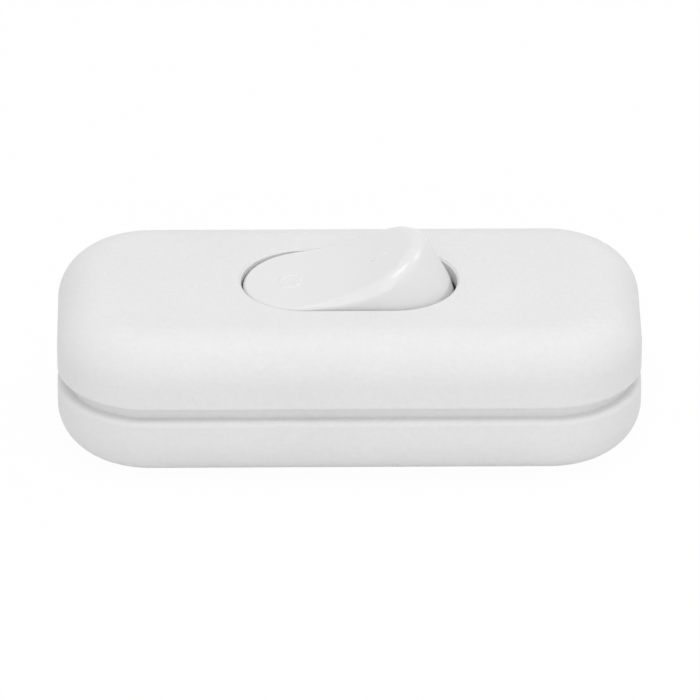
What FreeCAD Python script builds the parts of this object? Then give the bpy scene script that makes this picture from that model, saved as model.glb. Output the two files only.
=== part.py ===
import FreeCAD, Part
import os
import re

import Sketcher
from FreeCAD import Placement, Rotation, Vector

# Inline cord switch: a two-part white case with a rocker on top and a two-pole contact set inside.
# X runs along the cord, -Y is the front, Z is up, and the origin is the middle of the flat underside.

doc = FreeCAD.newDocument("inline_cord_switch")
sheet = doc.addObject("Spreadsheet::Sheet", "sizes")

# Driving dimensions, in millimetres and degrees.
driving = {
    # Case outline
    "case_length": 66.0,
    "case_width": 31.6,
    "case_height": 17.6,
    "upper_height": 7.95,
    "corner_radius": 10.5,
    "top_round": 5.2,
    "bottom_round": 5.2,
    "case_wall": 2.2,
    "top_wall": 1.8,
    "floor_thickness": 2.0,
    # Shadow gap and lap joint between the two shells
    "seam_gap": 1.7,
    "seam_depth": 1.1,
    "lip_round": 0.7,
    "lap_height": 1.6,
    "lap_clearance": 0.05,
    "lap_end_gap": 0.1,
    "cord_hole": 7.0,
    # Rocker and its opening
    "opening_length": 24.5,
    "opening_width": 14.4,
    "opening_bevel": 0.25,
    "rocker_end_gap": 0.3,
    "rocker_side_gap": 0.2,
    "rocker_end_draft": 11.8,
    "rocker_side_draft": 1.5,
    "rocker_tilt": 17.5,
    "rocker_skirt": 3.0,
    "rocker_wall": 1.5,
    "rim_round_off_end": 0.5,
    "rim_round_on_end": 1.5,
    "pivot_depth": 3.6,
    "dish_slope": 13.3,
    "dish_height": 4.09,
    "dish_radius": 25.0,
    # Trunnions, the cheeks that carry them and the posts that keep them in
    "trunnion_radius": 1.4,
    "bearing_clearance": 0.05,
    "cheek_gap": 0.4,
    "cheek_thickness": 1.5,
    "cheek_length": 10.0,
    "cheek_drop": 2.6,
    "keeper_side_gap": 0.1,
    # Plungers in the rocker's wells
    "pole_offset": 3.2,
    "well_roof": 1.9,
    "well_reach": 4.5,
    "well_wall": 1.0,
    "plunger_radius": 1.6,
    "plunger_clearance": 0.05,
    "plunger_drop": 1.6,
    "plunger_guide": 3.2,
    "tip_radius": 1.2,
    "tip_gap": 0.05,
    "spring_wire": 0.4,
    "spring_side_gap": 0.1,
    "spring_end_gap": 0.02,
    "spring_turns": 3.0,
    # Contact levers on their fulcrums
    "lever_length": 13.0,
    "lever_width": 4.0,
    "lever_thickness": 1.2,
    "lever_axis_height": 5.6,
    "lever_tilt": 8.0,
    "fulcrum_radius": 0.5,
    "fulcrum_clearance": 0.05,
    "contact_reach": 5.6,
    "contact_radius": 1.3,
    "contact_thickness": 0.6,
    "contact_gap": 0.05,
    "contact_dome": 4.0,
    # Terminal strips and the seats around them
    "strip_thickness": 0.8,
    "strip_width": 4.0,
    "strip_inner_end": 3.6,
    "terminal_step": 10.6,
    "terminal_end": 16.0,
    "terminal_height": 5.0,
    "terminal_screw_place": 13.7,
    "seat_gap": 0.2,
    "rib_thickness": 0.8,
    "rib_height": 2.2,
    "barrier_thickness": 1.0,
    "barrier_height": 5.0,
    # Cord clamps
    "clamp_place": 19.0,
    "clamp_post_offset": 6.0,
    "clamp_post_radius": 2.2,
    "clamp_headroom": 1.6,
    "clamp_width": 5.0,
    "clamp_thickness": 1.8,
    "grip_height": 0.6,
    "grip_width": 1.2,
    "grip_length": 6.0,
    "saddle_drop": 2.0,
    "saddle_length": 8.4,
    "saddle_thickness": 1.6,
    # Screws
    "screw_radius": 1.2,
    "screw_clearance": 0.03,
    "head_radius": 1.9,
    "head_height": 1.4,
    "head_gap": 0.3,
    "slot_width": 0.6,
    "slot_depth": 0.6,
    "hole_end_gap": 0.4,
    "terminal_screw_reach": 2.4,
    "clamp_screw_reach": 6.0,
    "case_screw_reach": 7.5,
    "case_screw_x": 24.5,
    "case_screw_y": 7.3,
    "screw_seat_height": 2.2,
    "screw_tube_height": 6.0,
    "screw_tube_wall": 0.7,
    "boss_wall": 1.3,
    "boss_gap": 0.1,
}

for row, (size_name, size) in enumerate(driving.items(), start=1):
    sheet.set(f"A{row}", size_name)
    sheet.set(f"B{row}", str(size))
    sheet.setAlias(f"B{row}", size_name)
doc.recompute()

# Places and sizes that follow from the driving dimensions.
half_length = "(case_length / 2)"
half_width = "(case_width / 2)"
ceiling = "(case_height - top_wall)"
seam_height = "(case_height - upper_height)"
lip_top = f"({seam_height} - seam_gap)"
tongue_top = f"({seam_height} + lap_height)"
cord_height = f"({seam_height} - seam_gap / 2)"
clamp_height = f"({ceiling} - clamp_headroom - head_height - clamp_thickness)"
pivot_height = "(case_height - pivot_depth)"
opening_radius = "(opening_width / 2)"
rocker_radius = "(opening_width / 2 - rocker_side_gap)"
rocker_half = "(opening_length / 2 - rocker_end_gap)"
cheek_inner = f"({rocker_radius} + cheek_gap)"
cheek_outer = f"({cheek_inner} + cheek_thickness)"
bearing_radius = "(trunnion_radius + bearing_clearance)"
well_radius = "(plunger_radius + plunger_clearance)"
plunger_reach = f"({pivot_height} - lever_axis_height - lever_thickness - tip_gap)"
strip_top = "(floor_thickness + strip_thickness)"
screw_hole = "(screw_radius + screw_clearance)"
head_recess = "(head_radius + head_gap)"

tiny = 1e-5
poles = (("front", -1), ("rear", 1))
ends = (("left", -1), ("right", 1))
case_screw_corners = ((-1, 1), (1, -1))
pieces = []


def bound(formula):
    """The formula with each size name pointing at its cell in the sheet."""
    return re.sub(
        r"[a-z_]+",
        lambda word: f"sizes.{word[0]}" if word[0] in driving else word[0],
        formula,
    )


def value(formula):
    """The number that a formula stands for at the present sizes."""
    return float(sheet.evalExpression(bound(formula)))


def bind(item, settings):
    """Ties properties of an object to formulas."""
    for path, formula in settings.items():
        item.setExpression(path, bound(formula))


def finished(item, label):
    """Names a finished piece and keeps it for export."""
    item.Label = label
    pieces.append(item)
    return item


# Sketch helpers


def new_body(name):
    return doc.addObject("PartDesign::Body", name)


def new_sketch(body, name, plane="XY_Plane", height="0"):
    """A sketch on one of the body's own origin planes, lifted off it by a height."""
    sketch = body.newObject("Sketcher::SketchObject", f"{body.Name}_{name}")
    support = next(item for item in body.Origin.OriginFeatures if item.Role == plane)
    sketch.AttachmentSupport = (support, [""])
    sketch.MapMode = "FlatFace"
    bind(sketch, {"AttachmentOffset.Base.z": height})
    return sketch


def hold(sketch, shape, point, place):
    """Holds a point of a drawn shape at a pair of formulas from the sketch's origin."""
    for kind, formula in zip(("DistanceX", "DistanceY"), place):
        number = sketch.addConstraint(
            Sketcher.Constraint(kind, -1, 1, shape, point, value(formula))
        )
        bind(sketch, {f"Constraints[{number}]": formula})


def hold_radius(sketch, shape, formula):
    number = sketch.addConstraint(Sketcher.Constraint("Radius", shape, value(formula)))
    bind(sketch, {f"Constraints[{number}]": formula})


def draw_outline(sketch, corners):
    """A closed straight-sided outline with every corner at a pair of formulas."""
    points = [Vector(value(across), value(up), 0) for across, up in corners]
    first = sketch.GeometryCount
    for start, stop in zip(points, points[1:] + points[:1]):
        sketch.addGeometry(Part.LineSegment(start, stop))
    for number, corner in enumerate(corners):
        following = first + (number + 1) % len(corners)
        sketch.addConstraint(Sketcher.Constraint("Coincident", first + number, 2, following, 1))
        hold(sketch, first + number, 1, corner)


def draw_rectangle(sketch, left, right, low, high):
    draw_outline(sketch, [(left, low), (right, low), (right, high), (left, high)])


def draw_circle(sketch, across, up, radius):
    centre = Vector(value(across), value(up), 0)
    circle = sketch.addGeometry(Part.Circle(centre, Vector(0, 0, 1), value(radius)))
    hold(sketch, circle, 3, (across, up))
    hold_radius(sketch, circle, radius)


def draw_arc(sketch, across, up, radius, start, stop):
    """An arc with its centre and radius held, from one angle to another in degrees."""
    centre = Vector(value(across), value(up), 0)
    circle = Part.Circle(centre, Vector(0, 0, 1), value(radius))
    to_radians = FreeCAD.Units.Quantity("1 deg").getValueAs("rad").Value
    arc = sketch.addGeometry(Part.ArcOfCircle(circle, start * to_radians, stop * to_radians))
    hold(sketch, arc, 3, (across, up))
    hold_radius(sketch, arc, radius)
    for point, angle in ((1, start), (2, stop)):
        direction = "Vertical" if angle % 180 else "Horizontal"
        sketch.addConstraint(Sketcher.Constraint(direction, arc, 3, arc, point))
    return arc


def join_arcs(sketch, arcs):
    """Straight sides from the end of each arc to the start of the next one."""
    for arc, following in zip(arcs, arcs[1:] + arcs[:1]):
        start = sketch.getPoint(arc, 2)
        stop = sketch.getPoint(following, 1)
        side = sketch.addGeometry(Part.LineSegment(start, stop))
        sketch.addConstraint(Sketcher.Constraint("Coincident", arc, 2, side, 1))
        sketch.addConstraint(Sketcher.Constraint("Coincident", side, 2, following, 1))


def draw_case_outline(sketch, inset="0"):
    """The case's plan outline, moved inwards by an inset."""
    radius = f"(corner_radius - {inset})"
    arcs = []
    for number, (across, up) in enumerate(((1, 1), (-1, 1), (-1, -1), (1, -1))):
        centre = (
            f"{across} * ({half_length} - corner_radius)",
            f"{up} * ({half_width} - corner_radius)",
        )
        arcs.append(draw_arc(sketch, *centre, radius, 90 * number, 90 * number + 90))
    join_arcs(sketch, arcs)


def draw_slot(sketch, half, radius, place=("0", "0"), along_y=False):
    """A round-ended slot outline about a place, its half length and end radius given."""
    turn = 90 if along_y else 0
    arcs = []
    for side in (1, -1):
        shift = f"{side} * ({half} - {radius})"
        across = place[0] if along_y else f"{place[0]} + {shift}"
        up = f"{place[1]} + {shift}" if along_y else place[1]
        start = turn - 90 * side
        arcs.append(draw_arc(sketch, across, up, radius, start, start + 180))
    join_arcs(sketch, arcs)


# Feature helpers


def add_feature(body, kind, sketch, length, back=False, both_ways=False):
    feature = body.newObject(f"PartDesign::{kind}", f"{sketch.Name}_{kind.lower()}")
    feature.Profile = sketch
    feature.Reversed = back
    feature.SideType = "Symmetric" if both_ways else "One side"
    bind(feature, {"Length": length})
    return feature


def pad(body, sketch, length, **direction):
    feature = add_feature(body, "Pad", sketch, length, **direction)
    doc.recompute()
    return feature


def pocket(body, sketch, length, **direction):
    """A pocket that has to take material away."""
    doc.recompute()
    volume = body.Shape.Volume
    feature = add_feature(body, "Pocket", sketch, length, **direction)
    doc.recompute()
    if body.Shape.Volume > volume - tiny:
        raise ValueError(f"{feature.Name} cuts nothing")
    return feature


def dress_edges(body, kind, name, base, chosen, settings):
    """A fillet or chamfer on the edges of the base feature that a test chooses."""
    names = [f"Edge{n}" for n, edge in enumerate(base.Shape.Edges, start=1) if chosen(edge)]
    feature = body.newObject(f"PartDesign::{kind}", f"{body.Name}_{name}")
    feature.Base = (base, names)
    bind(feature, settings)
    doc.recompute()
    return feature


def round_edges(body, name, base, chosen, radius):
    return dress_edges(body, "Fillet", name, base, chosen, {"Radius": radius})


def bevel_edges(body, name, base, chosen, size):
    return dress_edges(body, "Chamfer", name, base, chosen, {"Size": size})


def level_at(height):
    """A test for edges that lie in one level plane."""
    level = value(height)
    return lambda edge: max(abs(edge.BoundBox.ZMin - level), abs(edge.BoundBox.ZMax - level)) < tiny


# Upper shell: a rounded cover with a skirt, the rocker opening, bearing cheeks and screw bosses


def make_upper_shell():
    body = new_body("upper_shell")
    outside = new_sketch(body, "outside", height=seam_height)
    draw_case_outline(outside)
    block = pad(body, outside, "upper_height")
    round_edges(body, "top_edge", block, level_at("case_height"), "top_round")

    inside = new_sketch(body, "inside", height=seam_height)
    draw_case_outline(inside, "case_wall")
    hollow = pocket(body, inside, "upper_height - top_wall", back=True)
    bevel_edges(body, "inside_edge", hollow, level_at(ceiling), "top_round - case_wall")

    rebate = new_sketch(body, "rebate", height=seam_height)
    draw_case_outline(rebate, "seam_depth")
    pocket(body, rebate, "lap_height + lap_end_gap", back=True)

    opening = new_sketch(body, "opening", height="case_height")
    draw_slot(opening, "opening_length / 2", opening_radius)
    through = pocket(body, opening, "top_wall + top_round")
    level = level_at("case_height")
    rim_reach = value("opening_length / 2") + tiny
    bevel_edges(
        body,
        "opening_edge",
        through,
        lambda edge: level(edge) and edge.BoundBox.XMax < rim_reach and edge.BoundBox.XMin > -rim_reach,
        "opening_bevel",
    )

    bosses = new_sketch(body, "bosses", height=ceiling)
    for across, up in case_screw_corners:
        draw_circle(
            bosses, f"{across} * case_screw_x", f"{up} * case_screw_y", f"{screw_hole} + boss_wall"
        )
    boss_bottom = "(screw_tube_height + boss_gap)"
    pad(body, bosses, f"{ceiling} - {boss_bottom}", back=True)
    pilots = new_sketch(body, "pilots", height=boss_bottom)
    for across, up in case_screw_corners:
        draw_circle(pilots, f"{across} * case_screw_x", f"{up} * case_screw_y", screw_hole)
    screw_end = "(screw_seat_height + case_screw_reach)"
    pocket(body, pilots, f"{screw_end} + hole_end_gap - {boss_bottom}", back=True)

    cheeks = new_sketch(body, "cheeks", height=ceiling)
    for _, side in poles:
        near, far = sorted((f"{side} * {cheek_inner}", f"{side} * {cheek_outer}"), key=value)
        draw_rectangle(cheeks, "-cheek_length / 2", "cheek_length / 2", near, far)
    cheek_bottom = f"({pivot_height} - cheek_drop)"
    pad(body, cheeks, f"{ceiling} - {cheek_bottom}", back=True)
    bearing = new_sketch(body, "bearing", plane="XZ_Plane")
    draw_circle(bearing, "0", pivot_height, bearing_radius)
    pocket(body, bearing, f"2 * {cheek_outer}", both_ways=True)
    notch = new_sketch(body, "notch", plane="XZ_Plane")
    draw_rectangle(notch, f"-{bearing_radius}", bearing_radius, cheek_bottom, pivot_height)
    pocket(body, notch, f"2 * {cheek_outer}", both_ways=True)

    cut_cord_holes(body)
    return finished(body, "upper_shell")


def cut_cord_holes(body):
    """The round way for the cord through both end walls."""
    holes = new_sketch(body, "cord_holes", plane="YZ_Plane")
    draw_circle(holes, "0", cord_height, "cord_hole / 2")
    pocket(body, holes, "case_length", both_ways=True)


# Lower shell: a rounded tray with a tongue behind the shadow gap, posts, seats and screw tubes


def make_lower_shell():
    body = new_body("lower_shell")
    outside = new_sketch(body, "outside")
    draw_case_outline(outside)
    block = pad(body, outside, lip_top)
    bowl = round_edges(body, "bottom_edge", block, level_at("0"), "bottom_round")
    round_edges(body, "lip_edge", bowl, level_at(lip_top), "lip_round")

    tongue_inset = "(seam_depth + lap_clearance)"
    tongue = new_sketch(body, "tongue", height=lip_top)
    draw_case_outline(tongue, tongue_inset)
    pad(body, tongue, f"{tongue_top} - {lip_top}")

    inside = new_sketch(body, "inside", height=tongue_top)
    draw_case_outline(inside, "case_wall")
    hollow = pocket(body, inside, f"{tongue_top} - floor_thickness")
    bevel_edges(
        body, "inside_edge", hollow, level_at("floor_thickness"), "bottom_round - case_wall"
    )

    saddles = new_sketch(body, "saddles", height="floor_thickness")
    for _, side in ends:
        draw_rectangle(
            saddles,
            f"{side} * clamp_place - saddle_thickness / 2",
            f"{side} * clamp_place + saddle_thickness / 2",
            "-saddle_length / 2",
            "saddle_length / 2",
        )
    pad(body, saddles, f"{cord_height} - saddle_drop - floor_thickness")
    cut_cord_holes(body)

    add_clamp_posts(body)
    add_screw_tubes(body)
    add_keepers(body)
    add_terminal_seats(body)
    return finished(body, "lower_shell")


def add_clamp_posts(body):
    """Four posts that carry the cord clamps, each with a hole for its screw."""
    corners = [(end, side) for end in (-1, 1) for side in (-1, 1)]
    posts = new_sketch(body, "clamp_posts", height="floor_thickness")
    holes = new_sketch(body, "clamp_holes", height=clamp_height)
    for end, side in corners:
        place = (f"{end} * clamp_place", f"{side} * clamp_post_offset")
        draw_circle(posts, *place, "clamp_post_radius")
        draw_circle(holes, *place, screw_hole)
    pad(body, posts, f"{clamp_height} - floor_thickness")
    pocket(body, holes, "clamp_screw_reach - clamp_thickness + hole_end_gap")


def add_screw_tubes(body):
    """Two tubes for the case screws, open below for the screw heads."""
    tubes = new_sketch(body, "screw_tubes", height="floor_thickness")
    recesses = new_sketch(body, "head_recesses")
    shafts = new_sketch(body, "screw_shafts")
    for across, up in case_screw_corners:
        place = (f"{across} * case_screw_x", f"{up} * case_screw_y")
        draw_circle(tubes, *place, f"{head_recess} + screw_tube_wall")
        draw_circle(recesses, *place, head_recess)
        draw_circle(shafts, *place, "screw_radius + head_gap")
    pad(body, tubes, "screw_tube_height - floor_thickness")
    pocket(body, recesses, "screw_seat_height", back=True)
    pocket(body, shafts, "screw_tube_height", back=True)


def add_keepers(body):
    """Posts that close the bearing notches under the trunnions."""
    keepers = new_sketch(body, "keepers", height="floor_thickness")
    half = f"({bearing_radius} - keeper_side_gap)"
    for _, side in poles:
        near, far = sorted((f"{side} * {cheek_inner}", f"{side} * {cheek_outer}"), key=value)
        draw_rectangle(keepers, f"-{half}", half, near, far)
    pad(body, keepers, f"{pivot_height} - {bearing_radius} - floor_thickness")


def add_terminal_seats(body):
    """Blocks under the terminals, ribs beside the strips and a barrier between the poles."""
    blocks = new_sketch(body, "terminal_blocks", height="floor_thickness")
    block_top = "(terminal_height - strip_thickness)"
    holes = new_sketch(body, "terminal_holes", height=block_top)
    ribs = new_sketch(body, "strip_ribs", height="floor_thickness")
    for _, side in poles:
        centre = f"{side} * pole_offset"
        for end in (-1, 1):
            left, right = sorted(
                (f"{end} * (terminal_step + strip_thickness + seat_gap)", f"{end} * terminal_end"),
                key=value,
            )
            draw_rectangle(
                blocks, left, right, f"{centre} - strip_width / 2", f"{centre} + strip_width / 2"
            )
            draw_circle(holes, f"{end} * terminal_screw_place", centre, screw_hole)
        rib_start = f"{side} * (pole_offset + strip_width / 2 + seat_gap)"
        rib_stop = f"{side} * (pole_offset + strip_width / 2 + seat_gap + rib_thickness)"
        near, far = sorted((rib_start, rib_stop), key=value)
        draw_rectangle(ribs, "-terminal_end", "terminal_end", near, far)
    pad(body, blocks, f"{block_top} - floor_thickness")
    pocket(body, holes, "terminal_screw_reach - strip_thickness + hole_end_gap")
    pad(body, ribs, "rib_height")
    barrier = new_sketch(body, "barrier", height="floor_thickness")
    draw_rectangle(
        barrier, "-terminal_end", "terminal_end", "-barrier_thickness / 2", "barrier_thickness / 2"
    )
    pad(body, barrier, "barrier_height")


# Rocker: a drafted button with a dished top and a growing rim, hollow below, with wells and trunnions


def make_rocker():
    """Built upright about its pivot, then tipped to rest with its left half down."""
    body = new_body("rocker_blank")
    blank_height = f"(dish_height + {rocker_half} * tan(dish_slope * 1 deg))"
    skirt = new_sketch(body, "skirt")
    draw_slot(skirt, rocker_half, rocker_radius)
    pad(body, skirt, "rocker_skirt", back=True)
    crown = new_sketch(body, "crown", height=blank_height)
    draw_slot(
        crown,
        f"({rocker_half} - {blank_height} * tan(rocker_end_draft * 1 deg))",
        f"({rocker_radius} - {blank_height} * tan(rocker_side_draft * 1 deg))",
    )
    button = body.newObject("PartDesign::AdditiveLoft", "rocker_button")
    button.Profile = skirt
    button.Sections = [crown]
    button.Ruled = True
    doc.recompute()

    dish = new_sketch(body, "dish", plane="XZ_Plane")
    draw_outline(
        dish,
        [
            ("0", "dish_height"),
            (rocker_half, blank_height),
            (rocker_half, f"2 * {blank_height}"),
            (f"-{rocker_half}", f"2 * {blank_height}"),
            (f"-{rocker_half}", blank_height),
        ],
    )
    cut = pocket(body, dish, "opening_width", both_ways=True)
    round_edges(
        body,
        "valley",
        cut,
        lambda edge: level_at("dish_height")(edge) and abs(edge.BoundBox.XMax) < tiny,
        "dish_radius",
    )

    trunnions = new_sketch(body, "trunnions", plane="XZ_Plane")
    draw_circle(trunnions, "0", "0", "trunnion_radius")
    pad(body, trunnions, f"2 * {cheek_outer}", both_ways=True)
    hollow = new_sketch(body, "hollow", height="-rocker_skirt")
    draw_slot(hollow, f"({rocker_half} - rocker_wall)", f"({rocker_radius} - rocker_wall)")
    pocket(body, hollow, "rocker_skirt + well_roof", back=True)

    tubes = new_sketch(body, "well_tubes", height="well_roof")
    wells = new_sketch(body, "wells", height="-well_reach")
    for _, side in poles:
        draw_circle(tubes, "0", f"{side} * pole_offset", f"{well_radius} + well_wall")
        draw_circle(wells, "0", f"{side} * pole_offset", well_radius)
    pad(body, tubes, "well_roof + well_reach", back=True)
    pocket(body, wells, "well_roof + well_reach", back=True)
    rocker = round_rim(body)
    tip_with_rocker(rocker, "0")
    return finished(rocker, "rocker")


def round_rim(body):
    """Rounds the edges where the dish meets the walls, more and more towards the on end.

    The edge list holds plain numbers, so both radii are read from the sheet.
    """
    shape = body.Shape
    off_radius, on_radius = value("rim_round_off_end"), value("rim_round_on_end")
    dish_faces = [
        face
        for face in shape.Faces
        if face.CenterOfMass.z > value("well_roof")
        and face.normalAt(*face.Surface.parameter(face.CenterOfMass)).z > 0.9
    ]
    dish_edges = [edge for face in dish_faces for edge in face.Edges]
    rim = []
    for number, edge in enumerate(shape.Edges, start=1):
        if sum(edge.isSame(other) for other in dish_edges) == 1:
            ends = [edge.valueAt(place).x for place in edge.ParameterRange]
            rim.append((number, *[on_radius if across > 0 else off_radius for across in ends]))
    rounded = doc.addObject("Part::Fillet", "rocker_rim")
    rounded.Base = body
    rounded.Edges = rim
    doc.recompute()
    return rounded


def tip_with_rocker(item, across):
    """Places a piece that was built upright about the pivot in the tipped rocker."""
    item.Placement = Placement(Vector(), Rotation(Vector(0, 1, 0), 1))
    bind(
        item,
        {
            "Placement.Rotation.Angle": "-rocker_tilt * 1 deg",
            "Placement.Base.y": across,
            "Placement.Base.z": pivot_height,
        },
    )


# Plungers and their springs, in the rocker's wells


def make_plunger(pole, side):
    """A round-nosed pin that slides in its well and presses on a contact lever."""
    guide = doc.addObject("Part::Cylinder", f"plunger_guide_{pole}")
    bind(
        guide,
        {
            "Radius": "plunger_radius",
            "Height": "plunger_guide",
            "Placement.Base.z": "-plunger_drop - plunger_guide",
        },
    )
    neck = doc.addObject("Part::Cylinder", f"plunger_neck_{pole}")
    bind(
        neck,
        {
            "Radius": "tip_radius",
            "Height": f"{plunger_reach} - tip_radius - plunger_drop",
            "Placement.Base.z": f"tip_radius - {plunger_reach}",
        },
    )
    nose = doc.addObject("Part::Sphere", f"plunger_nose_{pole}")
    bind(nose, {"Radius": "tip_radius", "Placement.Base.z": f"tip_radius - {plunger_reach}"})
    plunger = doc.addObject("Part::MultiFuse", f"plunger_{pole}")
    plunger.Shapes = [guide, neck, nose]
    plunger.Refine = True
    tip_with_rocker(plunger, f"{side} * pole_offset")
    return finished(plunger, f"plunger_{pole}")


def make_spring(pole, side):
    """A coil spring between the roof of the well and the top of the plunger."""
    body = new_body(f"plunger_spring_{pole}")
    coil_radius = f"({well_radius} - spring_side_gap - spring_wire / 2)"
    bottom = "(spring_wire / 2 + spring_end_gap - plunger_drop)"
    coil_height = f"(well_roof - spring_wire / 2 - spring_end_gap - {bottom})"
    wire = new_sketch(body, "wire", plane="XZ_Plane")
    six_sides = [
        (
            f"{coil_radius} + spring_wire / 2 * cos({turn} deg)",
            f"{bottom} + spring_wire / 2 * sin({turn} deg)",
        )
        for turn in range(0, 360, 60)
    ]
    draw_outline(wire, six_sides)
    coil = body.newObject("PartDesign::AdditiveHelix", f"plunger_coil_{pole}")
    coil.Profile = wire
    coil.ReferenceAxis = (wire, ["V_Axis"])
    coil.Mode = "height-turns-angle"
    bind(coil, {"Height": coil_height, "Turns": "spring_turns"})
    doc.recompute()
    tip_with_rocker(body, f"{side} * pole_offset")
    return finished(body, f"plunger_spring_{pole}")


# Contact levers, their contacts and the brass strips that carry them


def tip_with_lever(item, side):
    """Places a piece that was built level about the lever's axis on the tipped lever."""
    item.Placement = Placement(Vector(), Rotation(Vector(0, 1, 0), 1))
    bind(
        item,
        {
            "Placement.Rotation.Angle": "lever_tilt * 1 deg",
            "Placement.Base.y": f"{side} * pole_offset",
            "Placement.Base.z": "lever_axis_height",
        },
    )


def make_lever(pole, side):
    """A flat brass seesaw with a groove below that sits on the fulcrum."""
    body = new_body(f"contact_lever_{pole}")
    profile = new_sketch(body, "profile", plane="XZ_Plane")
    draw_rectangle(profile, "-lever_length / 2", "lever_length / 2", "0", "lever_thickness")
    pad(body, profile, "lever_width", both_ways=True)
    groove = new_sketch(body, "groove", plane="XZ_Plane")
    draw_circle(groove, "0", "0", "fulcrum_radius + fulcrum_clearance")
    pocket(body, groove, "lever_width", both_ways=True)
    tip_with_lever(body, side)
    return finished(body, f"contact_lever_{pole}")


def make_moving_contact(pole, side):
    """A flat contact button under the lever's left arm."""
    body = new_body(f"moving_contact_{pole}")
    button = new_sketch(body, "button")
    draw_circle(button, "-contact_reach", "0", "contact_radius")
    pad(body, button, "contact_thickness", back=True)
    tip_with_lever(body, side)
    return finished(body, f"moving_contact_{pole}")


def make_fixed_contact(pole, side):
    """A domed contact rivet that the moving contact comes down to when the switch is on."""
    top = (
        "(lever_axis_height - contact_thickness * cos(lever_tilt * 1 deg)"
        " - contact_reach * sin(lever_tilt * 1 deg) - contact_gap)"
    )
    place = {"Placement.Base.x": "-contact_reach", "Placement.Base.y": f"{side} * pole_offset"}
    stem = doc.addObject("Part::Cylinder", f"rivet_stem_{pole}")
    bind(
        stem,
        {
            "Radius": "contact_radius",
            "Height": f"{top} - {strip_top}",
            "Placement.Base.z": strip_top,
            **place,
        },
    )
    dome = doc.addObject("Part::Sphere", f"rivet_dome_{pole}")
    bind(dome, {"Radius": "contact_dome", "Placement.Base.z": f"{top} - contact_dome", **place})
    rivet = doc.addObject("Part::Common", f"fixed_contact_{pole}")
    rivet.Base = stem
    rivet.Tool = dome
    return finished(rivet, f"fixed_contact_{pole}")


def make_strip(name, side, end, inner_end):
    """A brass strip on the floor that steps up to a screw terminal towards one end."""
    body = new_body(name)
    profile = new_sketch(body, "profile", plane="XZ_Plane")
    riser = f"{end} * (terminal_step + strip_thickness)"
    draw_outline(
        profile,
        [
            (inner_end, "floor_thickness"),
            (riser, "floor_thickness"),
            (riser, "terminal_height - strip_thickness"),
            (f"{end} * terminal_end", "terminal_height - strip_thickness"),
            (f"{end} * terminal_end", "terminal_height"),
            (f"{end} * terminal_step", "terminal_height"),
            (f"{end} * terminal_step", strip_top),
            (inner_end, strip_top),
        ],
    )
    pad(body, profile, "strip_width", both_ways=True)
    hole = new_sketch(body, "screw_hole", height="terminal_height")
    draw_circle(hole, f"{end} * terminal_screw_place", "0", screw_hole)
    pocket(body, hole, "2 * strip_thickness")
    bind(body, {"Placement.Base.y": f"{side} * pole_offset"})
    return body


def make_pivot_terminal(pole, side):
    """The strip on the right, with a round-nosed fulcrum bent up under the lever."""
    body = make_strip(f"pivot_terminal_{pole}", side, 1, "-fulcrum_radius")
    post = new_sketch(body, "fulcrum", plane="XZ_Plane")
    draw_rectangle(
        post, "-fulcrum_radius", "fulcrum_radius", "floor_thickness", "lever_axis_height"
    )
    pad(body, post, "strip_width", both_ways=True)
    nose = new_sketch(body, "nose", plane="XZ_Plane")
    draw_circle(nose, "0", "lever_axis_height", "fulcrum_radius")
    pad(body, nose, "strip_width", both_ways=True)
    return finished(body, f"pivot_terminal_{pole}")


def make_contact_terminal(pole, side):
    """The strip on the left, under the fixed contact."""
    body = make_strip(f"contact_terminal_{pole}", side, -1, "-strip_inner_end")
    return finished(body, f"contact_terminal_{pole}")


# Cord clamps


def make_cord_clamp(end, side):
    """A bar across the cord, with a grip rib below and a screw through each end."""
    body = new_body(f"cord_clamp_{end}")
    place = f"{side} * clamp_place"
    bar = new_sketch(body, "bar", height=clamp_height)
    draw_slot(
        bar, "(clamp_post_offset + clamp_width / 2)", "(clamp_width / 2)", (place, "0"), along_y=True
    )
    pad(body, bar, "clamp_thickness")
    rib = new_sketch(body, "grip", plane="XZ_Plane")
    draw_outline(
        rib,
        [
            (f"{place} - grip_width / 2", clamp_height),
            (place, f"{clamp_height} - grip_height"),
            (f"{place} + grip_width / 2", clamp_height),
        ],
    )
    pad(body, rib, "grip_length", both_ways=True)
    holes = new_sketch(body, "holes", height=clamp_height)
    for post in (-1, 1):
        draw_circle(holes, place, f"{post} * clamp_post_offset", screw_hole)
    pocket(body, holes, "clamp_thickness", back=True)
    return finished(body, f"cord_clamp_{end}")


# Screws


def make_screw(name, across, up, seat, reach, way):
    """A slotted screw with its head on a seat height and its shank going the given way from it."""
    place = {"Placement.Base.x": across, "Placement.Base.y": up}
    shank_start = seat if way > 0 else f"{seat} - {reach}"
    head_start = f"{seat} - head_height" if way > 0 else seat
    slot_start = head_start if way > 0 else f"{seat} + head_height - slot_depth"
    shank = doc.addObject("Part::Cylinder", f"{name}_shank")
    bind(shank, {"Radius": "screw_radius", "Height": reach, "Placement.Base.z": shank_start, **place})
    head = doc.addObject("Part::Cylinder", f"{name}_head")
    bind(
        head,
        {"Radius": "head_radius", "Height": "head_height", "Placement.Base.z": head_start, **place},
    )
    blank = doc.addObject("Part::Fuse", f"{name}_blank")
    blank.Base = head
    blank.Tool = shank
    slot = doc.addObject("Part::Box", f"{name}_slot")
    bind(
        slot,
        {
            "Length": "slot_width",
            "Width": "2 * head_radius",
            "Height": "slot_depth",
            "Placement.Base.x": f"{across} - slot_width / 2",
            "Placement.Base.y": f"{up} - head_radius",
            "Placement.Base.z": slot_start,
        },
    )
    screw = doc.addObject("Part::Cut", name)
    screw.Base = blank
    screw.Tool = slot
    return screw


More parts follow.
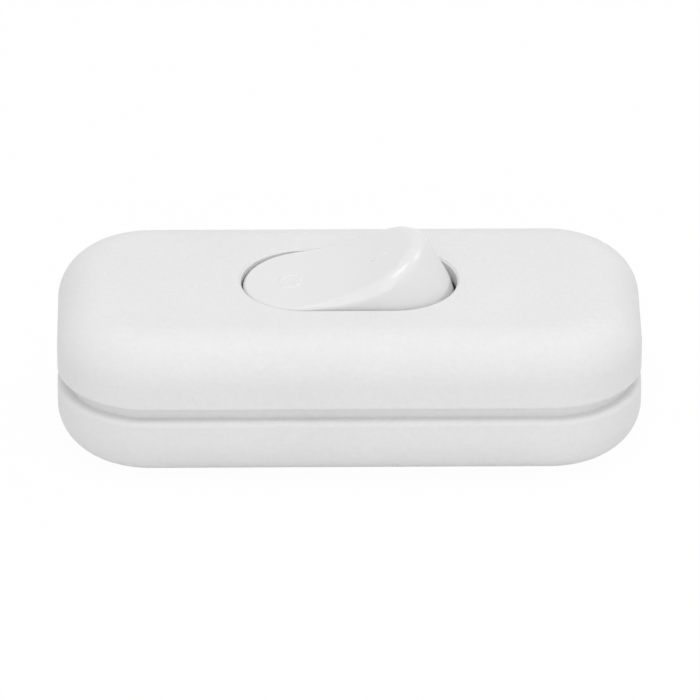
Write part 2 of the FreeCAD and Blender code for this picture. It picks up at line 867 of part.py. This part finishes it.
def make_screw_set(label, places, seat, reach, way):
    """Like screws kept together as one piece of separate solids."""
    screws = [
        make_screw(f"{label}_{number}", across, up, seat, reach, way)
        for number, (across, up) in enumerate(places)
    ]
    group = doc.addObject("Part::Compound", label)
    group.Links = screws
    return finished(group, label)


make_upper_shell()
make_lower_shell()
make_rocker()
for pole, side in poles:
    make_plunger(pole, side)
    make_spring(pole, side)
    make_lever(pole, side)
    make_moving_contact(pole, side)
    make_fixed_contact(pole, side)
    make_pivot_terminal(pole, side)
    make_contact_terminal(pole, side)
for end, side in ends:
    make_cord_clamp(end, side)

terminal_places = [
    (f"{end} * terminal_screw_place", f"{side} * pole_offset") for end in (-1, 1) for side in (-1, 1)
]
clamp_places = [
    (f"{end} * clamp_place", f"{side} * clamp_post_offset") for end in (-1, 1) for side in (-1, 1)
]
case_places = [(f"{across} * case_screw_x", f"{up} * case_screw_y") for across, up in case_screw_corners]
make_screw_set("terminal_screws", terminal_places, "terminal_height", "terminal_screw_reach", -1)
clamp_top = f"({clamp_height} + clamp_thickness)"
make_screw_set("cord_clamp_screws", clamp_places, clamp_top, "clamp_screw_reach", -1)
make_screw_set("case_screws", case_places, "screw_seat_height", "case_screw_reach", 1)

doc.recompute()
failed = [item.Name for item in doc.Objects if {"Invalid", "Error"} & set(item.State)]
if failed:
    raise RuntimeError(f"these could not be made: {failed}")
os.makedirs("parts", exist_ok=True)
for piece in pieces:
    if piece.Shape.isNull() or not piece.Shape.isValid():
        raise RuntimeError(f"{piece.Label} has no sound shape")
for piece in pieces:
    piece.Shape.exportStep(f"parts/{piece.Label}.step")
    print(f"{piece.Label}: {len(piece.Shape.Solids)} solids, {piece.Shape.Volume:.1f} cubic mm")
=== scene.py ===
# %% [markdown]
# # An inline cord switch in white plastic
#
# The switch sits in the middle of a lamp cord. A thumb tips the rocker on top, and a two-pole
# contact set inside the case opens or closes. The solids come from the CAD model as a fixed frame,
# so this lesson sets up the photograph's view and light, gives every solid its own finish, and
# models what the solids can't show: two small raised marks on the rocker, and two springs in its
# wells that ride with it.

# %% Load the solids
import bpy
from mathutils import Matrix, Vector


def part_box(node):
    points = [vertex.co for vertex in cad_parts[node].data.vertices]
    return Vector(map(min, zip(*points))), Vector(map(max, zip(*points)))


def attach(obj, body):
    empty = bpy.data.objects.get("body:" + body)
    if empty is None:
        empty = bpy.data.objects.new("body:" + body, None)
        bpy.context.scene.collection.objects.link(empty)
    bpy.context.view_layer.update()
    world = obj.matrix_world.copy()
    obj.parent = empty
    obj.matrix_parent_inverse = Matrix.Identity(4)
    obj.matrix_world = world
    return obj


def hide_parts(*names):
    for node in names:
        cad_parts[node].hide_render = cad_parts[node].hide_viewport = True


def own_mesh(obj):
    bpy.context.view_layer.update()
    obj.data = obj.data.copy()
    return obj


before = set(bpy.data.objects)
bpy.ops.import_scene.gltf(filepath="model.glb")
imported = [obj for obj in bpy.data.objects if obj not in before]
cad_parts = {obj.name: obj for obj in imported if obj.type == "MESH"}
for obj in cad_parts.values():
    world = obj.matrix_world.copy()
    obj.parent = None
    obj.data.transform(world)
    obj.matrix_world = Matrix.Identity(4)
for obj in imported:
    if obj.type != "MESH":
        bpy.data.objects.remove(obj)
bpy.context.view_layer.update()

# %% [markdown]
# ## The camera's axes
#
# The photograph was taken with a long lens from in front and above, so the case's edges stay almost
# parallel. A camera could be aimed with a constraint, but a rotation built from its own three axes
# also holds the slight turn and roll of the real one.

# %% Camera axes
import math
import bpy
from mathutils import Matrix, Vector

view_elevation = math.radians(29.0)
view_turn = math.radians(-0.75)
view_roll = math.radians(0.108)

sight = Vector((
    -math.sin(view_turn) * math.cos(view_elevation),
    math.cos(view_turn) * math.cos(view_elevation),
    -math.sin(view_elevation),
))
level_right = Vector((math.cos(view_turn), math.sin(view_turn), 0))
level_up = level_right.cross(sight)
camera_right = math.cos(view_roll) * level_right + math.sin(view_roll) * level_up
camera_up = math.cos(view_roll) * level_up - math.sin(view_roll) * level_right
print("the camera looks along", [round(part, 3) for part in sight])

# %% [markdown]
# ## The camera
#
# The distance and the lens length together set how large the switch is in the frame. A nearer camera
# with a shorter lens could show it as large, but its far edges would draw together more. The camera
# aims at the middle of the case, and a small shift of the frame puts the switch where it is in the
# photograph.

# %% Camera
case_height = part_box("upper_shell")[1].z
view_distance = 1.183
lens_length = 536.3
frame_shift = (0.0015, -0.0038)

bpy.ops.object.select_all(action="DESELECT")
bpy.ops.object.camera_add()
camera = bpy.context.object
camera.name = "photo_camera"
aimed_at = Vector((0, 0, case_height / 2))
turned = Matrix((camera_right, camera_up, -sight)).transposed().to_4x4()
camera.matrix_world = Matrix.Translation(aimed_at - view_distance * sight) @ turned
camera.data.lens = lens_length
camera.data.shift_x, camera.data.shift_y = frame_shift
camera.data.clip_start = 0.05
camera.data.clip_end = 30
bpy.context.scene.camera = camera
bpy.context.scene.view_settings.view_transform = "Standard"
print("camera at", [round(place, 4) for place in camera.location])

# %% [markdown]
# ## What the camera sees of the surroundings
#
# The photograph's surroundings are pure white. A bright lamp could wash a floor out, but it would
# wash out the white plastic too. Light Path tells how a ray came, so floor and backdrop can glow
# white for the camera and in reflections, and still give the object an ordinary bounce of light.

# %% Helpers for materials
def new_material(name):
    """A material with an emptied node tree and an output node."""
    material = bpy.data.materials.new(name)
    material.use_nodes = True
    material.node_tree.nodes.clear()
    output = material.node_tree.nodes.new("ShaderNodeOutputMaterial")
    return material, material.node_tree, output


def seen_directly(tree):
    """A value of 1 for camera, glossy and transmission rays, and 0 for the light that bounces."""
    path = tree.nodes.new("ShaderNodeLightPath")
    first = tree.nodes.new("ShaderNodeMath")
    second = tree.nodes.new("ShaderNodeMath")
    for step in (first, second):
        step.operation = "MAXIMUM"
    tree.links.new(path.outputs["Is Camera Ray"], first.inputs[0])
    tree.links.new(path.outputs["Is Glossy Ray"], first.inputs[1])
    tree.links.new(first.outputs[0], second.inputs[0])
    tree.links.new(path.outputs["Is Transmission Ray"], second.inputs[1])
    return second.outputs[0]


# %% [markdown]
# ## The floor
#
# The switch lies on a plain white sweep. A sheet bent up at the back could be modelled, but from
# this height the camera sees only the flat part, so a plane is enough. It lies a hair below the
# case, so that the two faces don't fight for the same pixels.

# %% Floor
millimetre = 0.001
floor_side = 6
floor_drop = 0.1 * millimetre

bpy.ops.object.select_all(action="DESELECT")
bpy.ops.mesh.primitive_plane_add(size=floor_side, location=(0, 0, -floor_drop))
floor = bpy.context.object
floor.name = "studio_floor"
print("floor:", floor.name, floor_side, "m wide")

# %% [markdown]
# ## The floor's paint
#
# A floor that only glows would show no shadow, and one that is only painted would come out grey. So
# the glow covers most of what the camera sees, and the small share of pale paint that is left keeps
# a soft contact shadow.

# %% Floor paint
floor_pale = 0.86
floor_glow_share = 0.97

floor_paint, tree, output = new_material("floor_paint")
pale = tree.nodes.new("ShaderNodeBsdfDiffuse")
pale.inputs["Color"].default_value = (floor_pale, floor_pale, floor_pale, 1)
glow = tree.nodes.new("ShaderNodeEmission")
glow.inputs["Strength"].default_value = 1.0
share = tree.nodes.new("ShaderNodeMath")
share.operation = "MULTIPLY"
share.inputs[1].default_value = floor_glow_share
tree.links.new(seen_directly(tree), share.inputs[0])
mixed = tree.nodes.new("ShaderNodeMixShader")
tree.links.new(share.outputs[0], mixed.inputs["Fac"])
tree.links.new(pale.outputs[0], mixed.inputs[1])
tree.links.new(glow.outputs[0], mixed.inputs[2])
tree.links.new(mixed.outputs[0], output.inputs["Surface"])
floor.data.materials.append(floor_paint)
print(floor_paint.name, "with a glow share of", floor_glow_share)

# %% [markdown]
# ## The white tent
#
# White plastic is photographed inside a tent of white cloth, so that light comes from every side
# and no shadow is black. A tent could be modelled as walls, but an even world light does the same
# with less noise. For the camera and in reflections it is plain white.

# %% Tent
tent_strength = 0.632

world = bpy.data.worlds.new("white_tent")
bpy.context.scene.world = world
world.use_nodes = True
tree = world.node_tree
tree.nodes.clear()
output = tree.nodes.new("ShaderNodeOutputWorld")
tent = tree.nodes.new("ShaderNodeBackground")
tent.inputs["Color"].default_value = (1, 1, 1, 1)
tent.inputs["Strength"].default_value = tent_strength
backdrop = tree.nodes.new("ShaderNodeBackground")
backdrop.inputs["Color"].default_value = (1, 1, 1, 1)
backdrop.inputs["Strength"].default_value = 1.0
mixed = tree.nodes.new("ShaderNodeMixShader")
tree.links.new(seen_directly(tree), mixed.inputs["Fac"])
tree.links.new(tent.outputs[0], mixed.inputs[1])
tree.links.new(backdrop.outputs[0], mixed.inputs[2])
tree.links.new(mixed.outputs[0], output.inputs["Surface"])
print("tent strength", tent_strength)

# %% [markdown]
# ## The softboxes
#
# In the photograph the brightest band runs along the rounded front edge of the top, the front wall
# is a little darker than the top, both ends fade softly, and a thin streak follows the rocker's rim.
# One big lamp could give the band, but the ends and the streak need smaller ones. So a broad softbox
# fills the front, one overhead lights the top and its rounded edge, a weak one on the left evens out
# the ends, and a small one at the back right draws the streak.

# %% Softboxes
softbox_distance = 0.6


def hang_softbox(name, direction, size, power):
    """A square area lamp that faces the switch from a direction."""
    bpy.ops.object.select_all(action="DESELECT")
    bpy.ops.object.light_add(type="AREA")
    softbox = bpy.context.object
    softbox.name = name
    softbox.data.shape = "SQUARE"
    softbox.data.size = size
    softbox.data.energy = power
    towards = Vector(direction).normalized()
    softbox.location = towards * softbox_distance
    softbox.rotation_euler = towards.to_track_quat("Z", "Y").to_euler()
    print(name, power, "W at", [round(place, 3) for place in softbox.location])


hang_softbox("front_softbox", direction=(0, -0.87, 0.5), size=0.5, power=0.735)
hang_softbox("top_softbox", direction=(0.05, -0.17, 1), size=0.3, power=0.76)
hang_softbox("left_softbox", direction=(-0.62, 0, 0.78), size=0.5, power=0.18)
hang_softbox("right_softbox", direction=(0.6, 0.27, 0.74), size=0.22, power=0.3)

# %% [markdown]
# ## Helpers for patterns
#
# Several finishes need the same few nodes: a group with named sockets and a noise texture in real
# metres. They could be wired by hand each time, but short functions keep the finishes readable.
# Object coordinates are used, because the solids carry no UV map.

# %% Group and noise helpers
def new_group(name, inputs, outputs):
    """A shader node group with named number inputs and outputs, and its two end nodes."""
    group = bpy.data.node_groups.new(name, "ShaderNodeTree")
    for label, start in inputs.items():
        socket = group.interface.new_socket(label, in_out="INPUT", socket_type="NodeSocketFloat")
        socket.default_value = start
    for label in outputs:
        group.interface.new_socket(label, in_out="OUTPUT", socket_type="NodeSocketFloat")
    return group, group.nodes.new("NodeGroupInput"), group.nodes.new("NodeGroupOutput")


def set_or_link(tree, socket, source):
    """Gives a socket a number, or links it to another node's socket."""
    if isinstance(source, (int, float)):
        socket.default_value = source
    else:
        tree.links.new(source, socket)


def add_noise(tree, detail, scale, place=None):
    """A noise value on Object coordinates, or on a place that is already worked out."""
    noise = tree.nodes.new("ShaderNodeTexNoise")
    noise.inputs["Detail"].default_value = detail
    if place is None:
        place = tree.nodes.new("ShaderNodeTexCoord").outputs["Object"]
    tree.links.new(place, noise.inputs["Vector"])
    set_or_link(tree, noise.inputs["Scale"], scale)
    return noise.outputs["Fac"]


# %% [markdown]
# ## Helpers for ranges
#
# A noise value lies mostly in the middle of its range, from about 0.35 to 0.65. A gloss or a tone
# could use it as it is, but would then hardly change. Map Range spreads that middle over the whole
# of the wanted range, and a mean of two noises mixes a fine pattern with a broad one.

# %% Range helpers
noise_middle = (0.35, 0.65)


def add_range(tree, source, span, to_low=0, to_high=1):
    """Spreads a span of a value over another range."""
    spread = tree.nodes.new("ShaderNodeMapRange")
    tree.links.new(source, spread.inputs["Value"])
    spread.inputs["From Min"].default_value, spread.inputs["From Max"].default_value = span
    set_or_link(tree, spread.inputs["To Min"], to_low)
    set_or_link(tree, spread.inputs["To Max"], to_high)
    return spread.outputs["Result"]


def average(tree, first, second):
    """The mean of two values."""
    mean = tree.nodes.new("ShaderNodeMix")
    mean.inputs["Factor"].default_value = 0.5
    tree.links.new(first, mean.inputs["A"])
    tree.links.new(second, mean.inputs["B"])
    return mean.outputs["Result"]


# %% [markdown]
# ## The grain of moulded plastic
#
# The steel mould is etched, so its faces leave a fine, even grain in the plastic. The tone is
# slightly mottled where the plastic flowed, and the gloss drifts over larger patches. Each of these
# could be painted, but noise textures give them at their real size on every side. Several plastics
# need them, so they are one node group with its own inputs.

# %% Grain group
drifts_per_metre = 55
flows_per_metre = 1600
mottle_span = (0.3, 0.7)

moulded_grain, grain_in, grain_out = new_group(
    "moulded_grain",
    {"Grains per metre": 2600, "Roughness low": 0.45, "Roughness high": 0.6},
    ["Grain", "Mottle", "Roughness"],
)
grain = add_noise(moulded_grain, detail=3, scale=grain_in.outputs["Grains per metre"])
drift = add_noise(moulded_grain, detail=2, scale=drifts_per_metre)
flow = add_noise(moulded_grain, detail=4, scale=flows_per_metre)
gloss = add_range(
    moulded_grain, average(moulded_grain, grain, drift), noise_middle,
    grain_in.outputs["Roughness low"], grain_in.outputs["Roughness high"],
)
mottle = add_range(moulded_grain, average(moulded_grain, flow, drift), mottle_span)
moulded_grain.links.new(grain, grain_out.inputs["Grain"])
moulded_grain.links.new(mottle, grain_out.inputs["Mottle"])
moulded_grain.links.new(gloss, grain_out.inputs["Roughness"])
print("group:", moulded_grain.name, "with", len(moulded_grain.nodes), "nodes")

# %% [markdown]
# ## Tone and bump
#
# No plastic or metal is one flat colour, and most are not quite smooth. A finish could be one colour
# with a picture of grain laid over it, but a picture has a front and a back. Two helpers do it with
# nodes: one lets a pattern drift between two tones, the other lets it tip the surface's normals.

# %% Tone and bump helpers
def grey(level):
    """A neutral colour of one level."""
    return (level, level, level)


def mix_tones(tree, factor, first, second):
    """A colour that drifts between two tones."""
    mixed = tree.nodes.new("ShaderNodeMix")
    mixed.data_type = "RGBA"
    tree.links.new(factor, mixed.inputs["Factor"])
    mixed.inputs["A"].default_value = (*first, 1)
    mixed.inputs["B"].default_value = (*second, 1)
    return mixed.outputs["Result"]


def add_bump(tree, surface, height, depth, strength):
    """Lets a height pattern of a given depth tip a surface's normals."""
    bump = tree.nodes.new("ShaderNodeBump")
    bump.inputs["Strength"].default_value = strength
    bump.inputs["Distance"].default_value = depth
    tree.links.new(height, bump.inputs["Height"])
    tree.links.new(bump.outputs["Normal"], surface.inputs["Normal"])


# %% [markdown]
# ## The plastics
#
# The two shells are satin white with a faint grain. The rocker is the same white, but its mould is
# polished, so it is glossier and has no grain that the eye could see. Its raised marks are a touch
# lighter, a painted highlight for the light their raised edges catch. The plungers are natural
# nylon, slightly creamy, and the clamp bars a plain off-white. One function builds them all from the
# grain group, because they differ only in tone, gloss and grain.

# %% Plastic finish
def moulded_plastic(name, tones, gloss, grains=2600, grain_depth=0, grain_strength=1, index=1.48):
    """A plastic with a mottled tone and a drifting gloss; a depth of 0 is a polished mould."""
    material, tree, output = new_material(name)
    surface = tree.nodes.new("ShaderNodeBsdfPrincipled")
    surface.inputs["IOR"].default_value = index
    skin = tree.nodes.new("ShaderNodeGroup")
    skin.node_tree = moulded_grain
    skin.inputs["Grains per metre"].default_value = grains
    skin.inputs["Roughness low"].default_value = gloss[0]
    skin.inputs["Roughness high"].default_value = gloss[1]
    tone = mix_tones(tree, skin.outputs["Mottle"], *tones)
    tree.links.new(tone, surface.inputs["Base Color"])
    tree.links.new(skin.outputs["Roughness"], surface.inputs["Roughness"])
    if grain_depth:
        add_bump(tree, surface, skin.outputs["Grain"], grain_depth, grain_strength)
    tree.links.new(surface.outputs[0], output.inputs["Surface"])
    return material


# %% Plastics
case_white = moulded_plastic(
    "case_white", tones=(grey(0.765), grey(0.81)), gloss=(0.48, 0.62),
    grain_depth=0.05 * millimetre,
)
rocker_white = moulded_plastic(
    "rocker_white", tones=(grey(0.775), grey(0.795)), gloss=(0.15, 0.22), grains=1400, index=1.58
)
# The marks' tone is lighter than the rocker's: a painted highlight for the light on their raised
# edges.
mark_painted_highlight = moulded_plastic(
    "mark_painted_highlight", tones=(grey(0.79), grey(0.81)), gloss=(0.22, 0.32), grains=1400
)
plunger_nylon = moulded_plastic(
    "plunger_nylon", tones=((0.70, 0.68, 0.62), (0.74, 0.73, 0.67)), gloss=(0.35, 0.5),
    grains=1800, grain_depth=0.01 * millimetre, grain_strength=0.3,
)
clamp_off_white = moulded_plastic(
    "clamp_off_white", tones=((0.66, 0.66, 0.64), (0.70, 0.70, 0.68)), gloss=(0.5, 0.65),
    grains=2200, grain_depth=0.02 * millimetre, grain_strength=0.4,
)
print("plastics:", len(bpy.data.materials), "materials so far")

# %% [markdown]
# ## Dressing the plastic solids
#
# A solid from the CAD model comes with a plain finish. A second material could be laid over some of
# its faces, but each of these pieces is moulded in one plastic, so the plain finish is taken off and
# one material goes on all over.

# %% Dress the plastic solids
poles = ("front", "rear")


def dress(material, *nodes):
    """Gives CAD solids a finish in place of their plain one."""
    for node in nodes:
        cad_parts[node].data.materials.clear()
        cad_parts[node].data.materials.append(material)
    print(material.name, "on", ", ".join(nodes))


dress(case_white, "upper_shell", "lower_shell")
dress(rocker_white, "rocker")
dress(plunger_nylon, *[f"plunger_{pole}" for pole in poles])
dress(clamp_off_white, "cord_clamp_left", "cord_clamp_right")

# %% [markdown]
# ## The worked surface of the metals
#
# Brass strips are rolled, screws are turned and zinc plated, and springs are drawn wire. All of them
# show fine lines along the way they were worked, and a slight dulling in patches. The lines could be
# an anisotropic shader, but that is lost outside Blender. A noise texture stretched along X gives
# them instead, a plain one gives the dulling, and one node group holds both.

# %% Worked metal group
line_squeeze = (0.04, 1, 1)
dull_patches_per_metre = 420

worked_metal, metal_in, metal_out = new_group(
    "worked_metal",
    {"Lines per metre": 9000, "Roughness low": 0.2, "Roughness high": 0.4},
    ["Lines", "Dulling", "Roughness"],
)
along = worked_metal.nodes.new("ShaderNodeMapping")
along.inputs["Scale"].default_value = line_squeeze
place = worked_metal.nodes.new("ShaderNodeTexCoord").outputs["Object"]
worked_metal.links.new(place, along.inputs["Vector"])
lines = add_noise(
    worked_metal, detail=2, scale=metal_in.outputs["Lines per metre"],
    place=along.outputs["Vector"],
)
dulling = add_noise(worked_metal, detail=4, scale=dull_patches_per_metre)
metal_gloss = add_range(
    worked_metal, dulling, noise_middle,
    metal_in.outputs["Roughness low"], metal_in.outputs["Roughness high"],
)
worked_metal.links.new(lines, metal_out.inputs["Lines"])
worked_metal.links.new(dulling, metal_out.inputs["Dulling"])
worked_metal.links.new(metal_gloss, metal_out.inputs["Roughness"])
print("group:", worked_metal.name, "with", len(worked_metal.nodes), "nodes")

# %% [markdown]
# ## The metals
#
# The levers and terminals are brass, the contacts silver, the screws zinc plated and the springs
# plain steel wire. They hardly show from outside, but they glint through the rocker's gap and the
# cord holes, and they show when the case is opened. Each could have a shader of its own, but all
# four differ only in tone, gloss and depth of line, so one function makes them.

# %% Metal finish
line_strength = 0.4


def bare_metal(name, tones, gloss, line_depth):
    """A metal whose tone and gloss change where it is dulled, with fine lines along X."""
    material, tree, output = new_material(name)
    surface = tree.nodes.new("ShaderNodeBsdfPrincipled")
    surface.inputs["Metallic"].default_value = 1.0
    worked = tree.nodes.new("ShaderNodeGroup")
    worked.node_tree = worked_metal
    worked.inputs["Roughness low"].default_value = gloss[0]
    worked.inputs["Roughness high"].default_value = gloss[1]
    tone = mix_tones(tree, worked.outputs["Dulling"], *tones)
    tree.links.new(tone, surface.inputs["Base Color"])
    tree.links.new(worked.outputs["Roughness"], surface.inputs["Roughness"])
    add_bump(tree, surface, worked.outputs["Lines"], line_depth, line_strength)
    tree.links.new(surface.outputs[0], output.inputs["Surface"])
    return material


# %% Metals on their solids
rolled_brass = bare_metal(
    "rolled_brass", tones=((0.82, 0.60, 0.26), (0.70, 0.48, 0.19)), gloss=(0.18, 0.36),
    line_depth=0.004 * millimetre,
)
contact_silver = bare_metal(
    "contact_silver", tones=((0.86, 0.85, 0.82), (0.74, 0.73, 0.70)), gloss=(0.22, 0.38),
    line_depth=0.003 * millimetre,
)
zinc_plated_steel = bare_metal(
    "zinc_plated_steel", tones=((0.70, 0.71, 0.73), (0.58, 0.59, 0.62)), gloss=(0.24, 0.42),
    line_depth=0.004 * millimetre,
)
brass_pieces = ("contact_lever", "pivot_terminal", "contact_terminal")
contact_pieces = ("moving_contact", "fixed_contact")
dress(rolled_brass, *[f"{piece}_{pole}" for pole in poles for piece in brass_pieces])
dress(contact_silver, *[f"{piece}_{pole}" for pole in poles for piece in contact_pieces])
dress(zinc_plated_steel, "terminal_screws", "cord_clamp_screws", "case_screws")

# %% [markdown]
# ## Where the marks go
#
# Each half of the rocker carries a small raised mark in its own material: an oval ring on the half
# that switches off, a short bar on the half that switches on. That material is the rocker's white a
# touch lighter, a painted highlight for the light on their raised edges. They could be bump in the
# material, but then they would vanish in a mesh, so they are modelled. Each is shaped flat at the
# origin, curved to the hollow of the dish, and then carried to its place on the tipped rocker. The
# dish's own numbers come from the CAD model.

# %% Place on the dish
rocker_tilt = math.radians(17.5)
pivot_height = 14.0 * millimetre
dish_radius = 25.0 * millimetre
dish_floor = 4.779 * millimetre
smooth_angle = math.radians(40)
tipped = Matrix.Translation((0, 0, pivot_height)) @ Matrix.Rotation(-rocker_tilt, 4, "Y")


def lay_on_dish(piece, along, across):
    """Curves a flat mark to the dish, carries it to a place on the rocker and fixes it there."""
    slope = math.asin(along / dish_radius)
    rise = dish_floor + dish_radius * (1 - math.cos(slope))
    place = Matrix.Translation((along, across, rise)) @ Matrix.Rotation(-slope, 4, "Y")
    for corner in piece.data.vertices:
        corner.co.z += dish_radius - math.sqrt(dish_radius**2 - corner.co.x**2)
    bpy.context.view_layer.objects.active = piece
    piece.matrix_world = tipped @ place
    bpy.ops.object.transform_apply(location=True, rotation=True, scale=True)
    bpy.ops.object.shade_smooth_by_angle(angle=smooth_angle)
    # The mark gets the lighter material, a painted highlight.
    piece.data.materials.append(mark_painted_highlight)
    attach(piece, "rocker")
    centre = [round(1000 * side, 2) for side in (tipped @ place).translation]
    print(piece.name, len(piece.data.polygons), "faces at", centre, "mm")


# %% [markdown]
# ## The ring
#
# The off mark is a low, soft line in the shape of an oval. A curve with a bevel could make it, but a
# torus needs fewer steps: it is widened across the rocker into an oval, pressed flat, and sunk so
# that only its rounded crown stands out of the dish.

# %% Ring
mark_height = 0.09 * millimetre
mark_sunk = 0.08 * millimetre
ring_length = 2.9 * millimetre
ring_width = 3.6 * millimetre
ring_line = 0.62 * millimetre

bpy.ops.object.select_all(action="DESELECT")
bpy.ops.mesh.primitive_torus_add(
    major_segments=72, minor_segments=24,
    major_radius=(ring_length - ring_line) / 2, minor_radius=ring_line / 2,
)
ring = bpy.context.object
ring.name = "off_mark"
bpy.ops.object.mode_set(mode="EDIT")
bpy.ops.mesh.select_all(action="SELECT")
flatter = 2 * (mark_height + mark_sunk) / ring_line
bpy.ops.transform.resize(value=(1, ring_width / ring_length, flatter))
bpy.ops.transform.translate(value=(0, 0, -mark_sunk))
bpy.ops.object.mode_set(mode="OBJECT")
lay_on_dish(ring, along=-5.3 * millimetre, across=-0.15 * millimetre)

# %% [markdown]
# ## Choosing edges
#
# A bevel acts on the edges that are selected. By hand they would be clicked, but a script has to
# find them by their place. This helper asks a question of both ends of every edge and selects those
# that pass.

# %% Edge chooser
def select_edges(piece, wanted):
    """Selects the edges of a piece in edit mode whose two ends pass a test."""
    bpy.ops.mesh.select_mode(type="EDGE")
    bpy.ops.mesh.select_all(action="DESELECT")
    bpy.ops.object.mode_set(mode="OBJECT")
    for edge in piece.data.edges:
        edge.select = wanted(*[piece.data.vertices[end].co for end in edge.vertices])
    bpy.ops.object.mode_set(mode="EDIT")


# %% [markdown]
# ## The bar
#
# The on mark is a short bar with round ends, as a small round cutter leaves it in the mould. It
# could be half a capsule, but its top is nearly flat. So a cube at its own size gets its upright
# edges bevelled into round ends, a hair under half the width so that no two corners meet, and then
# the rim of its top is bevelled softly.

# %% Bar
bar_length = 2.1 * millimetre
bar_width = 0.6 * millimetre
bar_end_round = 0.49 * bar_width
bar_top_round = 0.13 * millimetre

bpy.ops.object.select_all(action="DESELECT")
bpy.ops.mesh.primitive_cube_add(size=1)
bar = bpy.context.object
bar.name = "on_mark"
bpy.ops.object.mode_set(mode="EDIT")
bpy.ops.mesh.select_all(action="SELECT")
bpy.ops.transform.resize(value=(bar_length, bar_width, mark_height + mark_sunk))
bpy.ops.transform.translate(value=(0, 0, (mark_height - mark_sunk) / 2))
select_edges(bar, lambda first, second: abs(first.z - second.z) > mark_height)
bpy.ops.mesh.bevel(offset=bar_end_round, segments=8)
select_edges(bar, lambda first, second: min(first.z, second.z) > 0.9 * mark_height)
bpy.ops.mesh.bevel(offset=bar_top_round, segments=6)
bpy.ops.object.mode_set(mode="OBJECT")
lay_on_dish(bar, along=5.3 * millimetre, across=-0.35 * millimetre)

# %% [markdown]
# ## Winding the springs
#
# In each well of the rocker a small coil spring presses a plunger down. It is wound from round wire,
# between the roof of the well and the top of the plunger. A curve could carry the wire along a
# helix, but the Screw modifier winds a ring of points in one step. The wire's two cut ends are then
# filled.

# %% Wind a spring
wire_radius = 0.2 * millimetre
coil_radius = 1.35 * millimetre
spring_turns = 3
steps_per_turn = 32
well_roof = 1.9 * millimetre
plunger_top = -1.6 * millimetre
end_gap = 0.02 * millimetre
coil_low = plunger_top + end_gap + wire_radius
coil_high = well_roof - end_gap - wire_radius


def wind_spring(name):
    """A coil of round wire, upright about the origin."""
    bpy.ops.object.select_all(action="DESELECT")
    bpy.ops.mesh.primitive_circle_add(
        vertices=12, radius=wire_radius,
        location=(coil_radius, 0, coil_low), rotation=(math.pi / 2, 0, 0),
    )
    spring = bpy.context.object
    spring.name = name
    bpy.ops.object.transform_apply(location=True, rotation=True, scale=True)
    winding = spring.modifiers.new("winding", "SCREW")
    winding.axis = "Z"
    winding.iterations = spring_turns
    winding.screw_offset = (coil_high - coil_low) / spring_turns
    winding.steps = steps_per_turn
    winding.render_steps = steps_per_turn
    bpy.ops.object.modifier_apply(modifier=winding.name)
    bpy.ops.object.mode_set(mode="EDIT")
    bpy.ops.mesh.select_all(action="SELECT")
    bpy.ops.mesh.fill_holes(sides=0)
    bpy.ops.mesh.select_all(action="SELECT")
    bpy.ops.mesh.normals_make_consistent(inside=False)
    bpy.ops.object.mode_set(mode="OBJECT")
    return spring


# %% [markdown]
# ## Setting the springs in their wells
#
# A spring gets shorter when its plunger slides up, which a rigid solid can't show; these wound
# springs are rigid too and move with the rocker. Each spring takes the place of a rigid CAD one,
# which is hidden.

# %% Springs
pole_offset = 3.2 * millimetre
drawn_wire = bare_metal(
    "drawn_spring_wire", tones=((0.60, 0.60, 0.62), (0.50, 0.50, 0.53)), gloss=(0.2, 0.35),
    line_depth=0.003 * millimetre,
)

for pole, side in zip(poles, (-1, 1)):
    spring = wind_spring(f"coil_spring_{pole}")
    spring.matrix_world = Matrix.Translation((0, side * pole_offset, 0)) @ tipped
    bpy.ops.object.transform_apply(location=True, rotation=True, scale=True)
    bpy.ops.object.shade_smooth_by_angle(angle=smooth_angle)
    spring.data.materials.append(drawn_wire)
    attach(spring, "rocker")
    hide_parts(f"plunger_spring_{pole}")
    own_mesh(spring)
